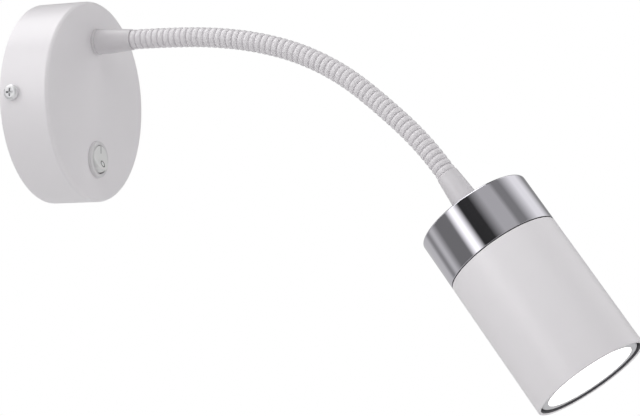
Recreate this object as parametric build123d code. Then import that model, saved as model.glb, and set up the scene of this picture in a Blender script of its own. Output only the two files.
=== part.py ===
from build123d import *
import os
from math import cos, pi, radians, sin, sqrt, tan

# Bedside wall reading lamp. A round steel canopy with a rocker switch carries a ribbed gooseneck,
# and the gooseneck carries a tube head with a push-and-turn spot bulb.
# Millimetres. +Z is up, the wall is the plane Y = 0 and the room is on the -Y side.
# The origin is the middle of the canopy's back, on the wall. The gooseneck bends in one plane
# through its arm hole, which leans a little from upright, with the head towards -X.

# ---- General clearances ----
running_gap = 0.05        # radial, a shank or tail in its hole
moving_gap = 0.3          # between faces that turn past each other
screw_hole_gap = 0.2      # radial, a screw in a plain hole

# ---- Canopy ----
canopy_d = 100.0
canopy_depth = 25.5
canopy_wall = 1.2
canopy_edge_r = 1.5
arm_height = 30.0         # arm hole above the middle
switch_drop = 29.0        # switch hole below the middle
side_screw_from_wall = 6.8

# ---- Side screws, M4 pan head ----
side_screw_d = 4.0
side_screw_head_d = 7.4
side_screw_head_h = 2.6
side_screw_length = 9.0

# ---- Wall bracket ----
bracket_t = 1.5
bracket_plate_h = 34.0
bracket_plate_to_rim = 10.0  # canopy's outside to the plate's ends
bracket_plate_drop = 1.5  # plate's middle below the canopy's middle
bracket_plate_corner_r = 6.0
bracket_tab_w = 14.0
bracket_tab_h = 10.5
bracket_bend_r = 3.0
bracket_to_canopy = 0.4
wall_slot_spacing = 60.0
wall_slot_length = 12.0
wall_slot_w = 4.6

# ---- Cable bush in the bracket ----
bush_bore_d = 8.0
bush_body_d = 11.0
bush_flange_d = 14.4
bush_flange_t = 1.5
bush_drop = 10.2

# ---- Terminal block ----
block_size = (28.0, 16.0, 12.0)
block_rise = 6.0
pole_pitch = 9.5
pole_count = 3
barrel_d = 4.8
barrel_bore_d = 3.2
barrel_length = 13.0
barrel_height = 5.5       # barrel axis above the bracket plate
well_d = 3.8
clamp_screw_d = 2.5
clamp_screw_head_d = 3.4
clamp_screw_head_h = 1.5
clamp_screw_spacing = 7.0
clamp_screw_tip = 0.7     # tip above the barrel's axis
fixing_screw_d = 3.0
fixing_screw_head_d = 4.8
fixing_screw_head_h = 1.6
fixing_screw_tip = 0.2    # tip clear of the wall

# ---- Rocker switch ----
switch_bezel_lip = 1.3       # radial, bezel past the body
switch_bezel_t = 1.8
switch_bezel_round = 0.8
switch_body_d = 15.8
switch_body_depth = 12.5
switch_hole_gap = 0.1
switch_mouth_wall = 0.65
switch_floor_t = 1.2
switch_snap = (0.7, 5.0, 4.0)   # stands out, width, length
rocker_tilt = 10.0           # each way from level
rocker_gap = 0.2
rocker_pivot_below_bezel = 3.0
rocker_valley = 3.6       # valley of the two faces above the pivot
rocker_skirt = 1.4        # underside below the pivot
rocker_pin_d = 1.8
rocker_post_d = 2.4
rocker_post_length = 6.0
tab_w = 4.8
tab_t = 0.8
tab_length = 6.3
tab_offset = 3.8
tab_inside = 2.0

# ---- Ferrules and their fixings, M10 x 1 hollow stub ----
ferrule_taper = 1.0          # radial, collar past its nose
ferrule_nose_lip = 0.3       # radial, nose past the ribs
ferrule_nose_length = 8.0
ferrule_bead_lip = 0.4       # radial, bead past the collar
ferrule_bead_t = 1.6
base_ferrule_length = 20.2
head_ferrule_length = 22.0
stub_d = 9.9
stub_hole_gap = 0.15
base_stub_length = 10.0
head_stub_length = 9.5
hose_socket_depth = 6.0
star_washer_d = 17.0
star_washer_t = 0.8
star_washer_teeth = 12
star_washer_tooth = 1.6
earth_tag_d = 15.0
earth_tag_t = 0.6
earth_tag_tail = (4.0, 6.5)     # width, length past the ring
lock_nut_af = 14.0
lock_nut_t = 3.0

# ---- Gooseneck ----
rib_pitch = 3.1
rib_count = 61
rib_d = 9.8
groove_depth = 0.45
groove_side = 0.35        # run of each sloping side of a rib
hose_tail_step = 0.05        # radial, tail below the grooves
joint_ribs = (6, 14, 22, 30, 38, 46, 54)          # ribs before each bending joint
border_ribs = (0, 10, 18, 26, 34, 42, 50, 61)     # ribs before each change of bend
border_drop_deg = (0.0, 3.0, 9.5, 17.5, 28.5, 39.0, 42.5, 54.0)  # heading below level there
neck_lean_deg = 6.1       # the gooseneck's plane from upright, about the arm hole's axis
bend_limit_deg = 25.0     # each way at one joint
rim_gap = 0.16            # least gap of two rims at that limit
socket_wall = 0.5            # radial, round the ball's widest

# ---- Cable in the gooseneck ----
cable_d = 4.8
cable_gap = 0.6              # radial, in the hose's bore and the ferrules'
core_d = 2.0
core_ring_r = 1.35
conductor_d = 0.9
cable_out_of_stub = 3.0

# ---- Head ----
head_wall = 1.3
cap_length = 24.0
cap_back_t = 1.5
cap_rim_chamfer = 0.4
spigot_length = 8.0
spigot_wall = 1.25
spigot_inside = 6.0
tube_lip_chamfer = 0.35

# ---- Lampholder and its bracket ----
holder_bracket_t = 1.2
holder_bracket_edge = 0.9     # beside the stub's hole
head_lead_room = 22.2        # cap's back to the contacts' tails
holder_leg_out = 16.2
holder_tab_in = 8.6
holder_d = 30.0
holder_flange_t = 9.0
holder_block = (16.0, 23.0, 10.5)
holder_plate_t = 2.5
holder_pocket_d = 16.4
holder_pocket_core_d = 3.6
holder_screw_x = 11.8
holder_screw_d = 3.0
holder_screw_head_d = 5.4
holder_screw_head_h = 1.8
holder_screw_past = 2.0   # tip past the bracket's tab
holder_screw_sink = 0.4   # head below the holder's front
contact_size = (5.0, 4.6, 0.6)
contact_leg = (3.0, 0.6)
contact_out = 3.0         # legs stand out of the holder's back

# ---- Bulb, 50 mm spot with a 10 mm pin base ----
bulb_d = 50.0
bulb_gap = 1.2               # radial, in the tube
bulb_recess = 1.0
bulb_length = 47.0        # face to base shoulder
bulb_base_d = 26.0
bulb_base_length = 12.0
bulb_rim_length = 8.0
bulb_wall = 1.6
bulb_bezel_w = 3.3
bulb_lens_t = 2.0
bulb_bezel_rise = 0.5     # bezel stands over the lens
pin_circle_d = 10.0
pin_neck_d = 3.0
pin_head_d = 4.8
pin_head_t = 3.5
pin_length = 7.0
bulb_turn_deg = 20.0
led_board_d = 41.0
led_board_t = 1.6
led_board_below_lens = 8.0
led_size = (3.0, 3.0, 0.8)
led_ring_d = 24.0
led_ring_count = 6

os.makedirs("parts", exist_ok=True)

# ---- Sizes that follow from the ones above ----
groove_d = rib_d - 2 * groove_depth
hose_tail_d = groove_d - 2 * hose_tail_step
hose_bore_d = cable_d + 2 * cable_gap
ferrule_nose_d = rib_d + 2 * ferrule_nose_lip
ferrule_d = ferrule_nose_d + 2 * ferrule_taper
ferrule_bead_d = ferrule_d + 2 * ferrule_bead_lip
ball_d = rib_d - 2 * (socket_wall + moving_gap)
stub_hole_d = stub_d + 2 * stub_hole_gap
holder_bracket_w = stub_hole_d + 2 * holder_bracket_edge
bulb_lens_d = bulb_d - 2 * bulb_bezel_w
head_d = bulb_d + 2 * (bulb_gap + head_wall)
head_length = (head_lead_room + contact_out + holder_block[2] + holder_flange_t + moving_gap
               + bulb_length + bulb_recess)

# ---- Frames ----
wall = Plane(origin=(0, 0, 0), x_dir=(1, 0, 0), z_dir=(0, -1, 0))   # local z leaves the wall, y is up
lean = radians(neck_lean_deg)
neck_frame = Plane(origin=(0, 0, arm_height),
                   x_dir=(cos(lean), 0, -sin(lean)), z_dir=(sin(lean), 0, cos(lean)))
hose_start = (-(canopy_depth + base_ferrule_length), 0.0)      # in the neck's frame


def neck_point(s):
    """Y, Z and heading at length s along the gooseneck's middle line, in the neck's frame, arc after arc."""
    y, z = hose_start
    last = len(border_ribs) - 2
    for i in range(last + 1):
        run = (border_ribs[i + 1] - border_ribs[i]) * rib_pitch
        here = s - border_ribs[i] * rib_pitch
        h0 = radians(border_drop_deg[i])
        bend = (radians(border_drop_deg[i + 1]) - h0) / run
        inside = min(max(here, 0.0), run)
        h = h0 + bend * inside
        y -= (sin(h) - sin(h0)) / bend
        z += (cos(h) - cos(h0)) / bend
        if here <= run or i == last:
            past = here - inside
            return y - cos(h) * past, z - sin(h) * past, h


def neck_plane(s):
    """Plane square to the gooseneck at length s, with a steady X axis, in the neck's frame."""
    y, z, h = neck_point(s)
    return Plane(origin=(0, y, z), x_dir=(1, 0, 0), z_dir=(0, -cos(h), -sin(h)))


def neck_path(s0, s1):
    """The middle line from s0 to s1 as tangent arcs, straight past both ends of the gooseneck."""
    whole = rib_count * rib_pitch
    stops = [s0] + [r * rib_pitch for r in border_ribs if s0 < r * rib_pitch < s1] + [s1]
    edges = []
    for a, b in zip(stops, stops[1:]):
        p, m, q = [(0, *neck_point(s)[:2]) for s in (a, (a + b) / 2, b)]
        if a < 0 or b > whole:
            edges.append(Edge.make_line(p, q))
        else:
            edges.append(Edge.make_three_point_arc(p, m, q))
    return Wire(edges)


head_on_neck = neck_plane(rib_count * rib_pitch + head_ferrule_length)
head = Plane(neck_frame.location * head_on_neck.location)      # local z runs to the mouth


# ---- Small shapes ----
def rod(d, z0, z1):
    """Cylinder on the local Z axis from z0 to z1."""
    from_below = (Align.CENTER, Align.CENTER, Align.MIN)
    return Pos(0, 0, min(z0, z1)) * Cylinder(d / 2, abs(z1 - z0), align=from_below)


def ring(outer, inner, z0, z1):
    """Tube on the local Z axis."""
    return rod(outer, z0, z1) - rod(inner, z0, z1)


def slab(size, z0):
    """Box centred on the local Z axis with its underside at z0."""
    return Pos(0, 0, z0) * Box(*size, align=(Align.CENTER, Align.CENTER, Align.MIN))


def turned(points):
    """Solid of revolution about the local Z axis from an outline of (radius, z) points."""
    face = make_face(Polyline(*[(r, 0, z) for r, z in points], close=True))
    return revolve(face, axis=Axis.Z)


def pan_screw(shank_d, head_d, head_h, length, drive_w):
    """Pan head screw along local -Z with its head's underside at 0, and a cross recess."""
    top = rod(head_d, 0, head_h)
    top = fillet(top.edges().sort_by(Axis.Z)[-1], min(head_h, head_d / 2) * 0.55)
    cross = slab((drive_w, drive_w / 4, head_h), head_h * 0.45)
    cross += slab((drive_w / 4, drive_w, head_h), head_h * 0.45)
    return top + rod(shank_d, -length, 0) - cross


def lead(points, radii, start_bare=0.0, end_bare=0.0):
    """Insulated core along straight runs and tangent arcs, with bare ends let in at both terminals."""
    path = FilletPolyline(*points, radius=radii)
    start = Plane(origin=path @ 0, z_dir=path % 0)
    body = sweep(start * Circle(core_d / 2), path=path)
    if start_bare:
        body += start * rod(conductor_d, -start_bare, 0.2)
    if end_bare:
        end = Plane(origin=path @ 1, z_dir=path % 1)
        body += end * rod(conductor_d, -0.2, end_bare)
    return body


def save(name, shape, frame=None):
    """Write one node as a STEP file, moved from its own frame to the lamp's."""
    placed = frame * shape if frame is not None else shape
    solids = list(placed.solids())
    node = solids[0] if len(solids) == 1 else Compound(children=solids)
    node.label = name
    export_step(node, os.path.join("parts", name + ".step"))


# ---- Canopy: pressed steel cup, open at the wall ----
canopy_inner_d = canopy_d - 2 * canopy_wall
front_back = canopy_depth - canopy_wall
arm_at = Pos(0, arm_height, 0)
switch_at = Pos(0, -switch_drop, 0)


def side_positions():
    """The two side screws' axes, pointing out of the canopy at +X and -X."""
    for side in (1, -1):
        yield Plane(origin=(side * canopy_d / 2, 0, side_screw_from_wall), z_dir=(side, 0, 0))


def make_canopy():
    outer = rod(canopy_d, 0, canopy_depth)
    outer = fillet(outer.edges().sort_by(Axis.Z)[-1], canopy_edge_r)
    inner = rod(canopy_inner_d, -1, front_back)
    inner = fillet(inner.edges().sort_by(Axis.Z)[-1], max(canopy_edge_r - canopy_wall, 0.2))
    cup = outer - inner
    cup -= arm_at * rod(stub_hole_d, 0, canopy_depth + 1)
    cup -= switch_at * rod(switch_body_d + 2 * switch_hole_gap, 0, canopy_depth + 1)
    for at in side_positions():
        cup -= at * rod(side_screw_d + 2 * screw_hole_gap, -3 * canopy_wall, 1)
    return cup


save("canopy", make_canopy(), wall)

# ---- Wall bracket: strap with two tapped tabs, and a plate for the wall screws ----
tab_out = sqrt((canopy_inner_d / 2) ** 2 - (bracket_tab_w / 2) ** 2) - bracket_to_canopy
plate_top = bracket_t
bush_body_hole_d = bush_body_d + 2 * running_gap
block_at = Pos(0, block_rise, plate_top)


def fixing_positions():
    """Holes between the poles for the two screws that hold the terminal block."""
    for k in range(pole_count - 1):
        yield Pos((k - (pole_count - 2) / 2) * pole_pitch, block_rise, 0)


def make_wall_bracket():
    strap = slab((2 * tab_out, bracket_tab_w, bracket_tab_h), 0)
    strap = fillet(strap.edges().filter_by(Axis.Y).group_by(Axis.Z)[0], bracket_bend_r)
    void = slab((2 * (tab_out - bracket_t), bracket_tab_w + 2, bracket_tab_h), bracket_t)
    void = fillet(void.edges().filter_by(Axis.Y).group_by(Axis.Z)[0], bracket_bend_r - bracket_t)
    plate = slab((canopy_d - 2 * bracket_plate_to_rim, bracket_plate_h, bracket_t), 0)
    plate = fillet(plate.edges().filter_by(Axis.Z), bracket_plate_corner_r)
    body = (strap - void) + Pos(0, -bracket_plate_drop, 0) * plate
    for side in (1, -1):
        slot = extrude(SlotOverall(wall_slot_length, wall_slot_w), bracket_t)
        body -= Pos(side * wall_slot_spacing / 2, 0, 0) * slot
    body -= Pos(0, -bush_drop, 0) * rod(bush_body_hole_d, -1, bracket_t + 1)
    for at in fixing_positions():
        body -= at * rod(fixing_screw_d + 2 * running_gap, -1, bracket_t + 1)
    for at in side_positions():
        body -= at * rod(side_screw_d + 2 * running_gap, -side_screw_length - 2, 1)
    return body


save("wall_bracket", make_wall_bracket(), wall)

bush = rod(bush_body_d, 0, plate_top) + rod(bush_flange_d, plate_top, plate_top + bush_flange_t)
bush = fillet(bush.edges().filter_by(GeomType.CIRCLE).sort_by(Axis.Z)[-1], bush_flange_t / 2)
bush -= rod(bush_bore_d, -1, plate_top + bush_flange_t + 1)
save("cable_bush", Pos(0, -bush_drop, 0) * bush, wall)

side_screw = pan_screw(side_screw_d, side_screw_head_d, side_screw_head_h, side_screw_length, 4.0)
save("side_screws", Part() + [at * side_screw for at in side_positions()], wall)


# ---- Terminal block on the bracket plate ----
def pole_positions():
    """Barrel axes of the poles, from -X to +X."""
    for k in range(pole_count):
        yield (k - (pole_count - 1) / 2) * pole_pitch


barrel_plane = Plane(origin=(0, 0, barrel_height), x_dir=(1, 0, 0), z_dir=(0, 1, 0))
clamp_rows = (-clamp_screw_spacing / 2, clamp_screw_spacing / 2)


def make_terminal_block():
    body = slab(block_size, 0)
    body = fillet(body.edges().filter_by(Axis.Z), 1.0)
    long_hole = rod(barrel_d + 2 * running_gap, -block_size[1], block_size[1])
    for x in pole_positions():
        body -= Pos(x, 0, 0) * (barrel_plane * long_hole)
        for y in clamp_rows:
            body -= Pos(x, y, 0) * rod(well_d, barrel_height, block_size[2] + 1)
    for k in range(pole_count - 1):
        x = (k - (pole_count - 2) / 2) * pole_pitch
        body -= Pos(x, 0, 0) * rod(fixing_screw_d + 2 * screw_hole_gap, -1, block_size[2] + 1)
    return body


def make_barrels():
    group = Part()
    for x in pole_positions():
        barrel = barrel_plane * ring(barrel_d, barrel_bore_d, -barrel_length / 2, barrel_length / 2)
        for y in clamp_rows:
            barrel -= Pos(0, y, 0) * rod(clamp_screw_d + 2 * running_gap, barrel_height, block_size[2])
        group += Pos(x, 0, 0) * barrel
    return group


def make_clamp_screws():
    seat = barrel_height + barrel_d / 2 + 0.3
    group = Part()
    for x in pole_positions():
        for y in clamp_rows:
            screw = rod(clamp_screw_d, barrel_height + clamp_screw_tip, seat)
            screw += rod(clamp_screw_head_d, seat, seat + clamp_screw_head_h)
            screw -= slab((clamp_screw_head_d + 1, 0.6, 1.0), seat + clamp_screw_head_h - 0.7)
            group += Pos(x, y, 0) * screw
    return group


block_top = plate_top + block_size[2]
fixing_screw = pan_screw(fixing_screw_d, fixing_screw_head_d, fixing_screw_head_h,
                         block_top - fixing_screw_tip, 2.6)
save("terminal_block", block_at * make_terminal_block(), wall)
save("terminal_barrels", block_at * make_barrels(), wall)
save("terminal_clamp_screws", block_at * make_clamp_screws(), wall)
save("terminal_fixing_screws",
     Part() + [at * Pos(0, 0, block_top) * fixing_screw for at in fixing_positions()], wall)

# ---- Rocker switch in the canopy's front ----
switch_bezel_d = switch_body_d + 2 * switch_bezel_lip
switch_mouth_d = switch_body_d - 2 * switch_mouth_wall
bezel_top = canopy_depth + switch_bezel_t
body_bottom = canopy_depth - switch_body_depth
floor_top = body_bottom + switch_floor_t
pivot_z = bezel_top - rocker_pivot_below_bezel
pivot_line = Plane(origin=(0, 0, pivot_z), x_dir=(0, 1, 0), z_dir=(1, 0, 0))
rocker_d = switch_mouth_d - 2 * rocker_gap
tab_rows = (tab_offset, -tab_offset)


def make_switch_housing():
    bezel = rod(switch_bezel_d, canopy_depth, bezel_top)
    bezel = fillet(bezel.edges().sort_by(Axis.Z)[-1], switch_bezel_round)
    body = bezel + rod(switch_body_d, body_bottom, canopy_depth)
    out, width, length = switch_snap
    snap = slab((switch_body_d + 2 * out, width, length), front_back - running_gap - length)
    snap = chamfer(snap.edges().filter_by(Axis.Y).group_by(Axis.Z)[0], out + 0.3, length * 0.7)
    body += snap
    body -= rod(switch_mouth_d, floor_top, bezel_top + 1)
    half = switch_body_d / 2 - 0.2
    body -= pivot_line * rod(rocker_pin_d + 2 * running_gap, -half, half)
    for y in tab_rows:
        body -= Pos(0, y, 0) * slab((tab_w + 0.1, tab_t + 0.1, 5), body_bottom - 1)
    return body


def make_rocker():
    """What passes the mouth at both ends of the travel, with two faces that meet in a valley."""
    reach = rocker_d
    rise = reach * tan(radians(rocker_tilt))
    outline = [
        (-reach, -rocker_skirt), (reach, -rocker_skirt), (reach, rocker_valley + rise),
        (0, rocker_valley), (-reach, rocker_valley + rise),
    ]
    side = Plane(origin=(0, 0, 0), x_dir=(0, 1, 0), z_dir=(1, 0, 0))
    wedge = extrude(side * make_face(Polyline(*outline, close=True)), reach, both=True)
    shaft = rod(rocker_d, -reach, reach)
    cap = wedge & (Rot(rocker_tilt, 0, 0) * shaft) & (Rot(-rocker_tilt, 0, 0) * shaft)
    cap += rod(rocker_post_d, -rocker_post_length, 0)
    cap += side * rod(rocker_pin_d, -switch_body_d / 2 + 0.3, switch_body_d / 2 - 0.3)
    return Pos(0, 0, pivot_z) * Rot(-rocker_tilt, 0, 0) * cap


def make_switch_tabs():
    group = Part()
    for y in tab_rows:
        tab = slab((tab_w, tab_t, tab_length + tab_inside), body_bottom - tab_length)
        group += Pos(0, y, 0) * tab
    return group


save("switch_housing", switch_at * make_switch_housing(), wall)
save("switch_rocker", switch_at * make_rocker(), wall)
save("switch_terminals", switch_at * make_switch_tabs(), wall)


# ---- Ferrules: plain collar with a tapered nose, and a hollow threaded stub behind ----
def make_ferrule(length, stub_length):
    """Local z = 0 is the face that it sits on and +z runs to the gooseneck."""
    round_off = (ferrule_bead_d - ferrule_d) / 2
    body = turned([
        (0, 0), (ferrule_bead_d / 2, 0), (ferrule_bead_d / 2, ferrule_bead_t - round_off),
        (ferrule_d / 2, ferrule_bead_t), (ferrule_d / 2, length - ferrule_nose_length),
        (ferrule_nose_d / 2, length), (0, length),
    ])
    body += rod(stub_d, -stub_length, 0)
    body -= rod(hose_bore_d, -stub_length - 1, length + 1)
    body -= rod(hose_tail_d + 2 * running_gap, length - hose_socket_depth - 0.2, length + 1)
    return body


def make_star_washer(z0):
    """Internal hole, and teeth round its edge, lying from z0 away from the face."""
    blank = ring(star_washer_d, stub_hole_d, z0, z0 + star_washer_t)
    for k in range(star_washer_teeth):
        notch = Pos(star_washer_d / 2, 0, z0 - 1) * Box(
            2 * star_washer_tooth, star_washer_tooth, star_washer_t + 2,
            align=(Align.CENTER, Align.CENTER, Align.MIN))
        blank -= Rot(0, 0, 360 * k / star_washer_teeth) * notch
    return blank


def make_lock_nut(z0):
    hexagon = extrude(RegularPolygon(lock_nut_af / 2, 6, major_radius=False), lock_nut_t)
    return Pos(0, 0, z0) * hexagon - rod(stub_d + 2 * running_gap, z0 - 1, z0 + lock_nut_t + 1)


def make_earth_tag(z0, turn):
    """Ring tag with a flat tail that runs out at the angle turn."""
    width, length = earth_tag_tail
    tail = Pos(earth_tag_d / 2 - 1, 0, z0) * Box(
        length + 1, width, earth_tag_t, align=(Align.MIN, Align.CENTER, Align.MIN))
    tag = rod(earth_tag_d, z0, z0 + earth_tag_t) + Rot(0, 0, turn) * tail
    return tag - rod(stub_hole_d, z0 - 1, z0 + earth_tag_t + 1)


# Behind the canopy's front the stack grows towards the wall, so it is built upside down.
arm_plane = Plane(origin=(0, arm_height, canopy_depth), x_dir=(1, 0, 0), z_dir=(0, 0, 1))
behind_front = Plane(origin=(0, arm_height, front_back), x_dir=(1, 0, 0), z_dir=(0, 0, -1))
save("base_ferrule", arm_plane * make_ferrule(base_ferrule_length, base_stub_length), wall)
save("base_star_washer", behind_front * make_star_washer(0), wall)
save("base_earth_tag", behind_front * make_earth_tag(star_washer_t, 180), wall)
save("base_lock_nut", behind_front * make_lock_nut(star_washer_t + earth_tag_t), wall)

# ---- Head ferrule and its fixings; head z = 0 is the cap's outer back face ----
ferrule_on_head = Plane(origin=(0, 0, 0), x_dir=(1, 0, 0), z_dir=(0, 0, -1))
bracket_z0 = cap_back_t + star_washer_t + earth_tag_t
save("head_ferrule", ferrule_on_head * make_ferrule(head_ferrule_length, head_stub_length), head)
save("head_star_washer", make_star_washer(cap_back_t), head)
save("head_earth_tag", make_earth_tag(cap_back_t + star_washer_t, -90), head)
save("head_lock_nut", make_lock_nut(bracket_z0 + holder_bracket_t), head)

# ---- Head shell: chrome cap with a spigot, and the white tube pushed onto it ----
tube_inner_d = head_d - 2 * head_wall
spigot_d = tube_inner_d - 2 * running_gap


def make_head_cap():
    r_out = head_d / 2
    r_in = r_out - head_wall
    r_spigot = spigot_d / 2
    r_deep = r_spigot - spigot_wall
    cap = turned([
        (0, 0), (r_out - cap_rim_chamfer, 0), (r_out, cap_rim_chamfer), (r_out, cap_length),
        (r_spigot, cap_length), (r_spigot, cap_length + spigot_length),
        (r_deep, cap_length + spigot_length), (r_deep, cap_length - spigot_inside),
        (r_in, cap_length - spigot_inside), (r_in, cap_back_t), (0, cap_back_t),
    ])
    return cap - rod(stub_hole_d, -1, cap_back_t + 1)


def make_head_tube():
    r_out = head_d / 2
    r_in = tube_inner_d / 2
    c = tube_lip_chamfer
    return turned([
        (r_in, cap_length), (r_out - c, cap_length), (r_out, cap_length + c),
        (r_out, head_length - c), (r_out - c, head_length), (r_in, head_length),
    ])


save("head_cap", make_head_cap(), head)
save("head_tube", make_head_tube(), head)

# ---- Bulb ----
face_z = head_length - bulb_recess
base_z = face_z - bulb_length
lens_top = face_z - bulb_bezel_rise
lens_bottom = lens_top - bulb_lens_t
board_top = lens_bottom - led_board_below_lens
pin_z = base_z - pin_length


def bulb_outline(inset, base, top):
    """Outer outline of the spot bulb, drawn in by inset, from base to top."""
    r_base = bulb_base_d / 2 - inset
    r_rim = bulb_d / 2 - inset
    neck_z = base_z + bulb_base_length
    rim_z = face_z - bulb_rim_length
    return [(0, base), (r_base, base), (r_base, neck_z), (r_rim, rim_z), (r_rim, top), (0, top)]


def radius_at(z):
    """Inside radius of the bulb's wall at z, on its cone."""
    neck_z = base_z + bulb_base_length
    rim_z = face_z - bulb_rim_length
    share = min(max((z - neck_z) / (rim_z - neck_z), 0.0), 1.0)
    return bulb_base_d / 2 + share * (bulb_d - bulb_base_d) / 2 - bulb_wall


def make_bulb_housing():
    body = turned(bulb_outline(0, base_z, face_z))
    body = fillet(body.edges().filter_by(GeomType.CIRCLE).group_by(Axis.Z)[-1], 0.8)
    hollow = turned(bulb_outline(bulb_wall, base_z + 2 * bulb_wall, lens_bottom - 1.0))
    body -= hollow
    body -= rod(bulb_lens_d - 3.0, lens_bottom - 3, lens_bottom + 1)
    body -= rod(bulb_lens_d, lens_bottom, face_z + 1)
    for turn in (0, 180):
        body -= Rot(0, 0, turn) * Pos(0, pin_circle_d / 2, 0) * rod(
            pin_neck_d + 2 * running_gap, base_z - 1, base_z + 2 * bulb_wall + 1)
    return body


def make_bulb_pins():
    group = Part()
    for turn in (0, 180):
        pin = rod(pin_head_d, pin_z, pin_z + pin_head_t) + rod(pin_neck_d, pin_z, base_z + 2 * bulb_wall)
        pin = chamfer(pin.edges().group_by(Axis.Z)[0], 0.6)
        group += Rot(0, 0, turn) * Pos(0, pin_circle_d / 2, 0) * pin
    return group


def make_led_board():
    board_d = min(led_board_d, 2 * (radius_at(board_top - led_board_t) - 0.4))
    board = rod(board_d, board_top - led_board_t, board_top)
    places = [Pos(0, 0, board_top)]
    for k in range(led_ring_count):
        places.append(Rot(0, 0, 360 * k / led_ring_count) * Pos(led_ring_d / 2, 0, board_top))
    for place in places:
        board += place * Box(*led_size, align=(Align.CENTER, Align.CENTER, Align.MIN))
    return board


lens = rod(bulb_lens_d - 2 * running_gap, lens_bottom, lens_top)
save("bulb_housing", make_bulb_housing(), head)
save("bulb_lens", fillet(lens.edges().sort_by(Axis.Z)[-1], 0.4), head)
save("bulb_pins", make_bulb_pins(), head)
save("bulb_led_board", make_led_board(), head)

# ---- Lampholder: the pins turn in two curved slots; its flange is screwed to the bracket ----
holder_front = base_z - moving_gap
flange_back = holder_front - holder_flange_t
plate_back = holder_front - holder_plate_t
pocket_floor = pin_z - moving_gap - contact_size[2] - 0.1
holder_screw_seat = holder_front - holder_screw_head_h - holder_screw_sink
slot_w = pin_neck_d + 2 * moving_gap
entry_d = pin_head_d + 2 * moving_gap


def make_pin_slot():
    """Curved slot for one pin, with the wide hole where the head goes in."""
    r = pin_circle_d / 2
    lap = ring(2 * r + slot_w, 2 * r - slot_w, plate_back - 1, holder_front + 1)
    reach = 3 * r
    a0 = 90.0
    a1 = 90.0 + bulb_turn_deg
    wedge_points = [(0, 0)] + [(reach * cos(radians(a)), reach * sin(radians(a))) for a in (a0, a1)]
    wedge = extrude(make_face(Polyline(*wedge_points, close=True)), holder_front + 1)
    cut = lap & wedge
    cut += Pos(0, r, 0) * rod(slot_w, plate_back - 1, holder_front + 1)
    cut += Rot(0, 0, bulb_turn_deg) * Pos(0, r, 0) * rod(entry_d, plate_back - 1, holder_front + 1)
    return cut


def make_lampholder():
    body = rod(holder_d, flange_back, holder_front)
    body = chamfer(body.edges().sort_by(Axis.Z)[-1], 1.0)
    body += slab(holder_block, flange_back - holder_block[2])
    body -= ring(holder_pocket_d, holder_pocket_core_d, pocket_floor, plate_back)
    for turn in (0, 180):
        body -= Rot(0, 0, turn) * make_pin_slot()
        body -= Rot(0, 0, turn) * Pos(0, pin_circle_d / 2, 0) * slab(
            (contact_leg[0] + 0.1, contact_leg[1] + 0.1, pocket_floor), 0)
        screw_hole = Rot(0, 0, turn) * Pos(holder_screw_x, 0, 0)
        body -= screw_hole * rod(holder_screw_d + 2 * screw_hole_gap, flange_back - 1, holder_front + 1)
        head_hole_d = holder_screw_head_d + 2 * screw_hole_gap
        body -= screw_hole * rod(head_hole_d, holder_screw_seat, holder_front + 1)
    return body


def make_contacts():
    group = Part()
    tail_z = flange_back - holder_block[2] - contact_out
    for turn in (0, 180):
        leaf = slab(contact_size, pocket_floor)
        leaf += slab((contact_leg[0], contact_leg[1], pocket_floor - tail_z), tail_z)
        group += Rot(0, 0, turn) * Pos(0, pin_circle_d / 2, 0) * leaf
    return group


def make_holder_bracket():
    tab_z = flange_back - holder_bracket_t
    height = flange_back - bracket_z0
    t = holder_bracket_t
    body = slab((2 * holder_leg_out, holder_bracket_w, height), bracket_z0)
    body = fillet(body.edges().filter_by(Axis.Y), 2.0)
    body -= fillet(slab((2 * (holder_leg_out - t), holder_bracket_w + 2, height - 2 * t),
                        bracket_z0 + t).edges().filter_by(Axis.Y), 2.0 - t)
    body -= slab((2 * holder_tab_in, holder_bracket_w + 2, 2 * t), tab_z - t / 2)
    body -= rod(stub_hole_d, bracket_z0 - 1, bracket_z0 + t + 1)
    for side in (1, -1):
        body -= Pos(side * holder_screw_x, 0, 0) * rod(
            holder_screw_d + 2 * running_gap, tab_z - 1, flange_back + 1)
    return body


holder_screw = pan_screw(holder_screw_d, holder_screw_head_d, holder_screw_head_h,
                         holder_screw_seat - flange_back + holder_bracket_t + holder_screw_past, 2.8)
save("lampholder", make_lampholder(), head)
save("lampholder_contacts", make_contacts(), head)
save("holder_bracket", make_holder_bracket(), head)
save("holder_screws", Part() + [Pos(side * holder_screw_x, 0, holder_screw_seat) * holder_screw
                                for side in (1, -1)], head)

# ---- Gooseneck: eight ribbed lengths, ball into socket where it bends ----
hose_length = rib_count * rib_pitch
rim_back = rib_d / 2 * tan(radians(bend_limit_deg / 2)) + rim_gap / 2 / cos(radians(bend_limit_deg / 2))
socket_d = ball_d + 2 * moving_gap
joint_s = [r * rib_pitch for r in joint_ribs]
cable_end = sqrt(ball_d ** 2 - hose_bore_d ** 2) / 2     # level with the ball's open end
cable_start = ball_d / 2 + 0.1                           # clear of the ball at any turn


def neck_lofts(s0, s1, first_rib, last_rib):
    """Ruled loft through four circles a rib, from s0 to s1."""
    stations = []
    for k in range(first_rib, last_rib):
        a = max(k * rib_pitch, s0)
        b = min((k + 1) * rib_pitch, s1)
        stations += [(a, groove_d), (a + groove_side, rib_d), (b - groove_side, rib_d), (b, groove_d)]
    merged = [stations[0]]
    for s, d in stations[1:]:
        if s - merged[-1][0] > 0.01:
            merged.append((s, d))
    return loft([neck_plane(s) * Circle(d / 2) for s, d in merged], ruled=True)


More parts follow.
